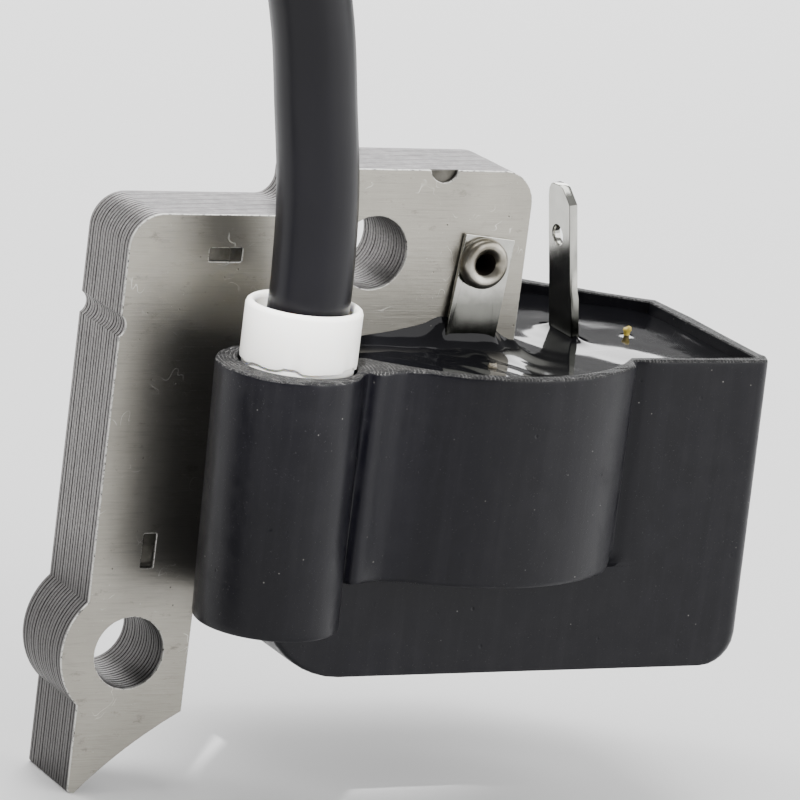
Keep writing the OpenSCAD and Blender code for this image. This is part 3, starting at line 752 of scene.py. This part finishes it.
def slant(x):
    """Y of the box's slanted wall."""
    return COIL_Y + (SLANT_REACH - sin(SLANT) * (x - COIL_X)) / cos(SLANT)


def slant_corner(thickness=0.0):
    """X where the slanted wall meets the rear wall, outside or a thickness further in."""
    reach = SLANT_REACH - thickness
    return COIL_X + (reach - cos(SLANT) * (BOX_REAR - thickness - COIL_Y)) / sin(SLANT)


def bulge_end(z):
    """Right end of the bulge, rounded where it comes down."""
    low = BULGE_ROUND - min(z - BULGE_Z, BULGE_ROUND)
    return BULGE_END - BULGE_ROUND + sqrt(max(BULGE_ROUND ** 2 - low ** 2, 0))


def bulge_y(x):
    """Front of the round bulge."""
    return COIL_Y - sqrt(max(BULGE_R ** 2 - (x - COIL_X) ** 2, 0))


def outer_rest(z):
    """Front plane right of the bulge, right wall, slanted wall, rear and left wall."""
    left, right, front = box_left(z), box_right(z), box_front(z)
    r = 1.5
    path = straight((GROOVE_RIGHT, front), (right - r, front), 6)
    path += arc((right - r, front + r), r, -90, 0, 7)
    path += straight((right, front + r + 1.5), (right, slant(right) - 0.5), 3)
    path += straight((right - 0.15, slant(right) + 0.1), (slant_corner() + 0.3, BOX_REAR - 0.2), 6)
    path += straight((slant_corner() - 0.3, BOX_REAR), (max(left, BOX_LEFT) + 5.2, BOX_REAR), 8)
    path += straight((left + 4.8, BOX_REAR - 0.15), (left + 0.1, BOX_REAR - 4.8), 4)
    path += straight((left, BOX_REAR - 5.3), (left, tower_centre(z)[1] + TOWER_R + 0.6), 8)
    return path


def tower_arc(z, steps=64):
    """The tower's round side, from the box's left face to where the web leaves it."""
    cx, cy = tower_centre(max(z, TOWER_Z))
    start = degrees(acos(max(min((box_left(z) - cx) / TOWER_R, 1), -1)))
    return arc((cx, cy), TOWER_R, start, 360 + TOWER_END, steps)


def upper_ring(z):
    """Outline of the box above the bulge's lower edge."""
    path = tower_arc(z)
    web = smooth_path([path[-2], path[-1], (13.75, -11.3), (14.4, -11.9), (15.1, -11.8), (16.2, -11.33),
                       (17.2, -11.02), (18.0, -11.06), (BULGE_START, bulge_y(BULGE_START)),
                       (BULGE_START + 1, bulge_y(BULGE_START + 1))], 4)
    path += [tuple(p) for p in web[5:-5]]
    end = bulge_end(z)
    xs = [BULGE_START + (end - BULGE_START) * k / BULGE_STEPS for k in range(BULGE_STEPS + 1)]
    path += [(x, bulge_y(x)) for x in xs]
    front, y = box_front(z), bulge_y(end)
    path += [(end + dx, y + (front - y) * share) for dx, share in GROOVE]
    return path + outer_rest(z)


def plain_front(start, z):
    """The box's front face from start, then the rest of the outline."""
    front = box_front(z)
    path = straight((start, front), (BULGE_START, front), 4)
    path += straight((BULGE_START, front), (BULGE_END, front), BULGE_STEPS)
    path += [(BULGE_END, front)] + [(BULGE_END + dx, front) for dx, _ in GROOVE]
    return path + outer_rest(z)


def lower_ring(z):
    """Outline below the bulge, with the tower. Same number of points as upper_ring."""
    cx, cy = tower_centre(z)
    path, tail = tower_arc(z), plain_front(cx + TOWER_R + 0.3, z)
    steps = len(upper_ring(RIM_Z)) - len(path) - len(tail)
    end = degrees(asin((box_front(z) - cy) / TOWER_R))
    return path + arc((cx, cy), TOWER_R, TOWER_END, end, steps)[1:] + tail


def foot_ring(z):
    """Outline below the tower, with the same number of points."""
    left, front, r = box_left(z), box_front(z), 0.5
    turn = max(TOWER_FOOT[0] + TOWER_R, left + 1.5)
    tail = plain_front(turn + 0.3, z)
    count = len(upper_ring(RIM_Z)) - len(tail)
    side = int(count * 0.3)
    path = straight((left, TOWER_FOOT[1] + TOWER_R - 0.3), (left, front + r), side)
    path += arc((left + r, front + r), r, 180, 270, 5)
    return path + straight((left + 0.8, front), (turn, front), count - side - 6) + tail


def blend_rings(a, b, reach, z):
    """Ring b drawn back towards ring a by at most reach millimetres, at height z."""
    ring = []
    for p, q in zip(a, b):
        p, q = Vector(p), Vector(q)
        gap = (p - q).length
        ring.append((*q.lerp(p, min(1, reach / gap) if gap > 1e-6 else 0), z))
    return ring


def rounding(lower, upper, z, radius):
    """Ledge from the lower ring out to the upper ring, with a rounded outer edge."""
    rings = [flat(lower(z), z)]
    for angle in (0, 30, 60, 90):
        a = radians(angle)
        level = z + radius * (1 - cos(a))
        rings.append(blend_rings(lower(z), upper(level), radius * (1 - sin(a)), level))
    return rings


def box_cavity():
    """Inner outline at the rim, counter-clockwise."""
    front, right, r = BOX_FRONT + WALL, BOX_RIGHT - WALL, 0.4
    inner = BULGE_R - WALL
    reach = sqrt(inner ** 2 - (front - COIL_Y) ** 2)
    start = degrees(acos((BOX_LEFT + WALL - BORE[0]) / BORE_WALL_R))
    path = arc(BORE, BORE_WALL_R, start, degrees(asin((front - BORE[1]) / BORE_WALL_R)), 14)
    start = degrees(atan2(front - COIL_Y, -reach))
    path += arc((COIL_X, COIL_Y), inner, start, -180 - start, 44)
    path += straight((COIL_X + reach + 0.8, front), (right - r, front), 5)
    path += arc((right - r, front + r), r, -90, 0, 3)
    path += [(right, slant(right) - WALL / cos(SLANT)), (slant_corner(WALL), BOX_REAR - WALL)]
    return path + [(BOX_LEFT + 5.5, BOX_REAR - WALL), (BOX_LEFT + WALL, BOX_REAR - 5.5)]


def ragged(path, amount, level):
    """Outline at one height, a little uneven."""
    ring = []
    for x, y in path:
        height = level + 0.05 * wobble(x * 1.3, y * 1.1) + amount * wobble(x * 11, y * 5)
        ring.append((x + amount * wobble(x * 9, y * 7), y + amount * wobble(x * 7, y * 9 + 1), height))
    return ring


def housing_outside():
    """Rings from the foot up to the trimmed rim."""
    edge, foot = 0.3, 0.02
    rings = [flat(inset(foot_ring(foot), 0.25), 0), flat(foot_ring(foot), 0.07)]
    rings += [flat(foot_ring(z), z) for z in (0.15, 0.4, 0.8, 1.4, 2.1, 3, 4, 5, TOWER_Z - 0.02)]
    rings += rounding(foot_ring, lower_ring, TOWER_Z, 0.3)
    rings += [flat(lower_ring(z), z) for z in (6.2, 7, 8, 9, BULGE_Z - 0.05)]
    rings += rounding(lower_ring, upper_ring, BULGE_Z, 0.45)
    rings += [flat(upper_ring(z), z) for z in (10.2, 10.6, 11.0, 11.4, 12, 14, 17, 20, 23, 26, 27.4)]
    top = upper_ring(RIM_Z)
    rings.append(flat(top, RIM_Z - edge))
    for angle in (30, 60, 90):
        a = radians(angle)
        drawn = 1 - cos(a)
        rings.append(ragged(inset(top, edge * 0.6 * drawn), 0.05 * drawn, RIM_Z - edge + edge * sin(a)))
    return rings


def housing_openings():
    """Rings of the cavity and of the lead's bore, from the rim down."""
    cavity, bore = box_cavity(), arc(BORE, BORE_R, 0, 360, 48)[:-1]
    rim = [(x, y, RIM_Z + 0.03 * wobble(x, y)) for x, y in inset(cavity, -0.12)]
    lip = flat(inset(cavity, -0.02), RIM_Z - 0.12)
    cavity_rings = [rim, lip, flat(cavity, RIM_Z - 0.4), flat(cavity, 24)]
    return cavity_rings, [flat(inset(bore, -0.08), RIM_Z), flat(bore, RIM_Z - 0.1), flat(bore, 22)]


def build_housing(mats):
    """Moulded box whose rim is the flat between its outside and its openings."""
    outside, openings = housing_outside(), housing_openings()
    parts = [loft(outside, True, False)]
    start, count = len(parts[0][0]), len(outside[0])
    rims = [range(start - count, start)]
    for rings in openings:
        verts, faces = loft(rings, False, True)
        parts.append((verts, [face[::-1] for face in faces]))
        rims.append(range(start, start + len(rings[0])))
        start += len(verts)
    verts, faces = join_parts(parts)
    part = (verts, faces + cap(verts, rims, True))
    slot = "housing_plastic"
    obj = add_piece(mats, "moulded_housing", part, 30, slot, "coil_housing", slot, "cut_rim")
    for face in obj.data.polygons:
        if face.center.z > (RIM_Z - 0.16) * MM:
            face.material_index = 1


# -------- potting

def inside(x, y, loop):
    """True if the point lies in the polygon."""
    hit = False
    for i, (x1, y1) in enumerate(loop):
        x0, y0 = loop[i - 1]
        if (y1 > y) != (y0 > y) and x < (x0 - x1) * (y - y1) / (y0 - y1) + x1:
            hit = not hit
    return hit


def to_segment(x, y, a, b):
    """Distance from points to a segment, with numpy arrays."""
    ax, ay = a
    dx, dy = b[0] - ax, b[1] - ay
    t = np.clip(((x - ax) * dx + (y - ay) * dy) / max(dx * dx + dy * dy, 1e-9), 0, 1)
    return np.hypot(x - ax - t * dx, y - ay - t * dy)


def pool_height(x, y):
    """Height of the potting, which creeps up whatever it touches."""
    def gap(a, b):
        return to_segment(x, y, a, b)
    cavity = box_cavity()
    wall = np.minimum.reduce([gap(cavity[i - 1], p) for i, p in enumerate(cavity)])
    climb = np.interp(x, *zip(*CORE_CLIMB))
    front_corner, rear_corner = (CORE_RIGHT, 0), (CORE_RIGHT, CORE_REAR)
    core_front = gap((8, 0), front_corner)
    core_rest = np.minimum(gap(front_corner, rear_corner), gap((8, CORE_REAR), rear_corner))
    blade, strip = gap((BLADE_X, 3.2), (BLADE_X, 8)), gap((26.2, -0.6), (31.3, -0.5))
    wire = np.hypot(x - WIRE[0], y - WIRE[1])
    swell = 0.05 * np.sin(x * 0.42 + 0.6) * np.cos(y * 0.5 + 0.3) + 0.015 * np.sin(x * 0.9 - y * 0.7)
    swell += 0.035 * np.sin(x * 1.7 + y * 1.3 + 1.0) * np.exp(-((x - 29) / 7) ** 2)
    deep, wide = 0.485 * x + 0.875 * y, 0.875 * x - 0.485 * y
    height = POOL_Z + swell - 0.016 * (deep - 14)
    for slope, deep_0, wide_0, reach, breadth in POOL_RISES:
        across = np.exp(-((wide - wide_0) / breadth) ** 2)
        height += slope * reach * np.tanh((deep - deep_0) / reach) * across
    height += 0.5 * np.exp(-wall / 0.7) + climb * np.exp(-core_front / 0.75)
    height += 0.5 * np.exp(-core_rest / 0.7) + 0.6 * np.exp(-blade / 0.6)
    return height + 1.1 * np.exp(-strip / 0.8) + 0.2 * np.exp(-wire / 0.35)


def block(xs, ys, heights, kept):
    """Closed block under a height field, over the kept squares of its grid."""
    index, verts, faces = {}, [], []

    def corner(place, top):
        if (place, top) not in index:
            index[place, top] = len(verts)
            i, j = place
            verts.append((xs[i], ys[j], heights[i, j] if top else POOL_BOTTOM))
        return index[place, top]

    for i, j in kept:
        square = [(i, j), (i + 1, j), (i + 1, j + 1), (i, j + 1)]
        faces.append([corner(c, True) for c in square])
        faces.append([corner(c, False) for c in square[::-1]])
        for k, side in enumerate([(i, j - 1), (i + 1, j), (i, j + 1), (i - 1, j)]):
            if side not in kept:
                a, b = square[k], square[(k + 1) % 4]
                faces.append([corner(a, False), corner(b, False), corner(b, True), corner(a, True)])
    return verts, faces


def build_potting(mats):
    """Potting that fills the cavity and reaches just into its walls."""
    step = POOL_GRID
    xs = np.arange(8.7, 55.8, step)
    stretches = [(-13.6, -1.6, step), (-1.6, 0.2, 0.12), (0.2, 22.4, step)]
    ys = np.concatenate([np.arange(*stretch) for stretch in stretches])
    heights = np.minimum(pool_height(*np.meshgrid(xs, ys, indexing="ij")), POOL_CREST)
    loop = inset(box_cavity(), -0.55)
    kept = dict.fromkeys((i, j) for i, x in enumerate(xs[:-1]) for j, y in enumerate(ys[:-1])
                         if inside(x + step / 2, y + step / 2, loop))
    part = block(xs, ys, heights, kept)
    add_piece(mats, "poured_potting", part, 60, "potting_epoxy", "potting_compound")


# -------- ferrule, lead and boot

def foot_lift(angle):
    """How far the ferrule's uneven foot is cut back at an angle."""
    lift = 0.16 * max(0, wobble(angle * 2.2 + 0.6)) + 0.04 * wobble(angle * 9)
    return lift + sum(0.45 * exp(-((angle - gap) / 0.16) ** 2) for gap in (4.1, 5.35))


def build_ferrule(mats):
    """Tube with a rounded lip whose foot is cut unevenly."""
    profile = [(4.2, 26), (4.2, 32.9), (4.3, 33.25), (4.52, 33.38), (4.72, 33.36), (4.9, 33.22),
               (5.0, 32.95), (5.0, 31), (5.0, 28.75), (4.97, 28.4), (4.8, 28.3), (4.75, 26)]
    rings, segments = [], 96
    for r, h in profile:
        uneven = 28.2 < h < 28.5
        lifts = [uneven * foot_lift(2 * pi * k / segments) for k in range(segments)]
        rings.append([(x, y, z + lift) for (x, y, z), lift in zip(circle(r, h, segments), lifts)])
    part = moved(loft(rings + rings[:1], False, False), Matrix.Translation((*BORE, 0)))
    add_piece(mats, "cut_ferrule", part, 50, "ferrule_plastic", "lead_ferrule")


def build_lead(mats):
    """The lead as one round curve along its route."""
    curve = bpy.data.curves.new("lead_cable", "CURVE")
    curve.dimensions = "3D"
    curve.bevel_depth = LEAD_R * MM
    curve.bevel_resolution = 9
    curve.use_fill_caps = True
    points = smooth_path(LEAD_PATH, 6)
    spline = curve.splines.new("POLY")
    spline.points.add(len(points) - 1)
    for made, p in zip(spline.points, points):
        made.co = (*[c * MM for c in p], 1)
    spline.use_smooth = True
    curve.materials.append(mats["lead_jacket"])
    return add_object("lead_cable", curve, "ht_lead")


def build_boot(mats):
    """Plug boot: ribbed barrel with an open mouth, and a ribbed neck for the lead."""
    end = [(0.01, -10), (6.3, -10), (7.6, -9.6), (8.3, -8.7), (8.5, -7.4), (8.5, 6.8), (8.3, 7.2),
           (7.8, 7.4)]
    rib = [(7.8, 0), (8.2, 0.3), (8.35, 0.9), (8.2, 1.5), (7.8, 1.8)]
    ribs = [(r, start + h) for start in (8.2, 11.2, 14.2, 17.2) for r, h in rib]
    mouth = [(7.8, 20.6), (8.2, 21.4), (8.5, 22.4), (8.5, 24.8), (8.2, 25.6), (7.6, 26)]
    inner = [(5.6, 26), (5.15, 25.7), (5.0, 25.1), (5.0, 10.2), (4.6, 10), (0.01, 10)]
    barrel = moved(lathe(end + ribs + mouth + inner, 64), Matrix.Rotation(radians(90), 4, "X"))
    root = [(0.01, 3), (7.9, 3), (7.7, 7.0), (6.9, 8.6), (6.1, 10), (5.75, 11.6), (5.6, 13.2)]
    fold = [(5.3, 0), (5.3, 0.8), (5.6, 1.1), (5.6, 2.6)]
    folds = [(r, start + h) for start in (15, 18, 21, 24) for r, h in fold]
    lip = [(5.55, 29), (5.3, 29.5), (4.9, 29.8), (3.9, 29.8), (3.6, 29.5), (3.55, 29), (3.55, 22),
           (0.01, 22)]
    neck = lathe(root + folds + lip, 48)
    part = moved(join_parts([barrel, neck]), Matrix.Translation(BOOT))
    return add_piece(mats, "ribbed_boot", part, 45, "boot_rubber", "plug_boot")


# -------- terminals

def build_blade(mats):
    """Kill terminal: leaning tab with a punched hole, set in the potting."""
    outline = [(-2.2, 0), (2.05, 0), (2.05, 5.2), (2.0, 5.6), (2.0, 13.9), (1.85, 14.6), (1.5, 15.05)]
    outline += [(1.0, 15.25), (-0.3, 15.25), (-0.75, 15.1), (-2.0, 13.8), (-2.0, 5.8), (-2.2, 5.2)]
    stand = Matrix(((0, 0, 1, 0), (1, 0, 0, 0), (0, 1, 0, 0), (0, 0, 0, 1)))
    place = Matrix.Translation((41.8, 5.6, 25.6)) @ Matrix.Rotation(radians(-8.7), 4, "Y") @ stand
    part = moved(plate([outline, hole((0.3, 10.55), 0.92, 28)], 0, 0.8, 0.09), place)
    add_piece(mats, "punched_tab", part, 40, "tinned_steel", "kill_terminal")


def build_strip(mats):
    """Earth strip: riveted on the core's face, its lower end bent forward into the potting."""
    half = 2.5
    outline = [(-half, -1.2), (half, -1.2), (half, 10.15), (half - 0.08, 10.2)]
    outline += [(-half + 0.08, 10.2), (-half, 10.15)]
    verts, faces = plate([outline, hole((-0.32, 7.85), 1.35, 40)], 0, 0.4, 0.06)
    bent = []
    for x, z, h in verts:
        forward = 0.02 + 0.5 * max(0, (1.2 - z) / 2.4) ** 1.5
        bent.append((x, z, h + forward + 0.016 * (half - x)))
    stand = Matrix(((1, 0, 0, 0), (0, 0, -1, 0), (0, 1, 0, 0), (0, 0, 0, 1)))
    place = Matrix.Translation((28.75, 0, 27.2)) @ Matrix.Rotation(radians(6.3), 4, "Y") @ stand
    add_piece(mats, "riveted_strip", moved((bent, faces), place), 40, "tinned_steel", "ground_strip")


def build_wire_tip(mats):
    """Cut end of a sleeved wire, just showing above the potting."""
    profile = [(0.4, 19), (0.4, 26.3), (0.36, 26.9), (0.27, 27.1), (0.3, 27.3), (0.35, 27.5), (0.3, 27.7),
               (0.12, 27.78)]
    rings = []
    for r, h in profile:
        ring = []
        for a in [2 * pi * k / 20 for k in range(20)]:
            reach = r * (1 + (0.22 * wobble(a * 1.3, h * 2.0) if h > 26.5 else 0))
            slope = 0.1 * cos(a) if h > 27.6 else 0
            ring.append((WIRE[0] + reach * cos(a), WIRE[1] + reach * sin(a), h + slope))
        rings.append(ring)
    add_piece(mats, "cut_wire_tip", loft(rings), 70, "yellow_sleeve", "sleeved_wire_end")


def build_flake(mats):
    """Crumb of set resin lying on the pool's front shore."""
    verts = [(28.3, -5.9, 26.9), (29.1, -6.0, 26.9), (29.2, -5.5, 26.9), (28.4, -5.3, 26.9),
             (28.4, -5.8, 27.25), (29.0, -5.8, 27.5), (29.0, -5.6, 27.3), (28.5, -5.45, 27.4)]
    faces = [[3, 2, 1, 0], [0, 1, 5, 4], [1, 2, 6, 5], [2, 3, 7, 6], [3, 0, 4, 7], [4, 5, 6], [4, 6, 7]]
    add_piece(mats, "resin_flake", (verts, faces), 5, "potting_epoxy", "potting_compound", "resin_flake")


def build_rivet(mats):
    """Hollow rivet with a rolled head in front, a flared end behind, and its bore in a dark finish that is
    painted shade.
    """
    head = [(2.1, 0.0), (2.25, 0.12), (2.27, 0.4), (2.2, 0.72), (2.02, 0.98), (1.76, 1.1), (1.48, 1.08)]
    bore = [(1.2, 0.95), (0.98, 0.76), (0.84, 0.45), (0.77, 0.0), (0.72, -5.5), (0.01, -5.6)]
    tail = [(0.01, -9.0), (0.9, -9.0), (1.3, -9.15), (1.6, -9.25), (1.8, -9.1), (1.78, -8.92), (1.35, -8.85),
            (1.35, 0.0), (2.1, 0.0)]
    place = Matrix.Translation((RIVET[0], -0.45, RIVET[1])) @ Matrix.Rotation(radians(90), 4, "X")
    part = moved(lathe(head + bore + tail, 64, closed=True), place)
    slot = "rivet_steel"
    obj = add_piece(mats, "rolled_rivet", part, 50, slot, "ground_rivet", slot, "rivet_bore")
    # Faces within about 1 mm of the axis take the dark finish, painted shade inside the hole
    for face in obj.data.polygons:
        spots = [obj.data.vertices[i].co / MM for i in face.vertices]
        reach = max(hypot(v.x - RIVET[0], v.z - RIVET[1]) for v in spots)
        face.material_index = 1 if reach < 1.01 else 0


# -------- scene

def direction(azimuth, elevation):
    """Unit vector away from the object, from degrees; azimuth 0 is its front, 90 its right."""
    a, e = radians(azimuth), radians(elevation)
    return Vector((sin(a) * cos(e), -cos(a) * cos(e), sin(e)))


def make_camera():
    """Camera of the photograph: the object leans clockwise in it."""
    azimuth, elevation, roll = -28.87, 14.03, radians(7.33)
    back = direction(azimuth, elevation)
    right = direction(azimuth + 90, 0)
    up = right.cross(-back)
    side = right * cos(roll) + up * sin(roll)
    top = up * cos(roll) - right * sin(roll)
    place = side * 0.023314 + top * 0.021783 + back * 0.457
    data = bpy.data.cameras.new("camera")
    data.lens, data.sensor_width = 239.04, 36
    cam = new_object("camera", data)
    cam.matrix_world = Matrix.Translation(place) @ Matrix((side, top, back)).transposed().to_4x4()
    bpy.context.scene.camera = cam


def studio_floor(low):
    """Wide pale floor."""
    s = Surface("studio_paper", rough=0.9, specular=0.1)
    s.colour(s.mix(s.noise(80), (0.88, 0.88, 0.88), (0.9, 0.9, 0.9)))
    part = loft([circle(r, low / MM, 96) for r in (0.01, 300, 900, 3000)], False, False)
    new_object("studio_floor", make_mesh("studio_floor", *part, [s.mat], 80))


def aim_light(data, target, away, distance):
    """Puts a light at a distance from its target, facing it."""
    lamp = new_object(data.name, data)
    lamp.location = Vector(target) + away * distance
    lamp.rotation_euler = away.to_track_quat("Z", "Y").to_euler()


def softbox(name, azimuth, elevation, distance, size, radiance):
    """Area light aimed at the object's middle."""
    data = bpy.data.lights.new(name, "AREA")
    data.shape, data.size, data.size_y = "RECTANGLE", *size
    data.energy = radiance * size[0] * size[1] * pi
    aim_light(data, (0.02, 0, 0.015), direction(azimuth, elevation), distance)


def collar_lamp():
    """Narrow soft spot on the white ferrule."""
    data = bpy.data.lights.new("collar_lamp", "SPOT")
    data.energy, data.spot_size, data.spot_blend = 18.0, radians(5), 1.0
    data.shadow_soft_size = 0.01
    aim_light(data, (0.0085, -0.0085, 0.0315), Vector((-0.42, -0.5, 0.95)).normalized(), 0.25)


def studio_light():
    """Dim white surroundings and four softboxes."""
    world = bpy.data.worlds.new("studio")
    world.use_nodes = True
    sky = world.node_tree.nodes["Background"].inputs
    sky["Color"].default_value = (1, 1, 1, 1)
    sky["Strength"].default_value = 0.42
    bpy.context.scene.world = world
    softbox("key", 50, 24, 0.75, (1.2, 0.6), 3.6)
    softbox("top", -170, 70, 0.9, (1.0, 0.8), 4.0)
    softbox("left", -138, 24, 0.8, (0.3, 0.5), 4.5)
    softbox("back", 152, 26, 0.9, (0.62, 0.34), 8.0)


def paint_cad_nodes(mats):
    """Gives every CAD node the finish of its slot."""
    for name, obj in frame["nodes"].items():
        obj.data.materials.clear()
        obj.data.materials.append(mats[SLOT[name]])


make_camera()
finishes = all_materials()
paint_cad_nodes(finishes)
lead = build_lead(finishes)
boot = build_boot(finishes)
for build in (build_core, build_housing, build_potting, build_ferrule, build_blade, build_strip, build_rivet,
              build_wire_tip, build_flake):
    build(finishes)
studio_floor(min(CAD_BOX[0][2], FOOT_Z * MM))
studio_light()
collar_lamp()
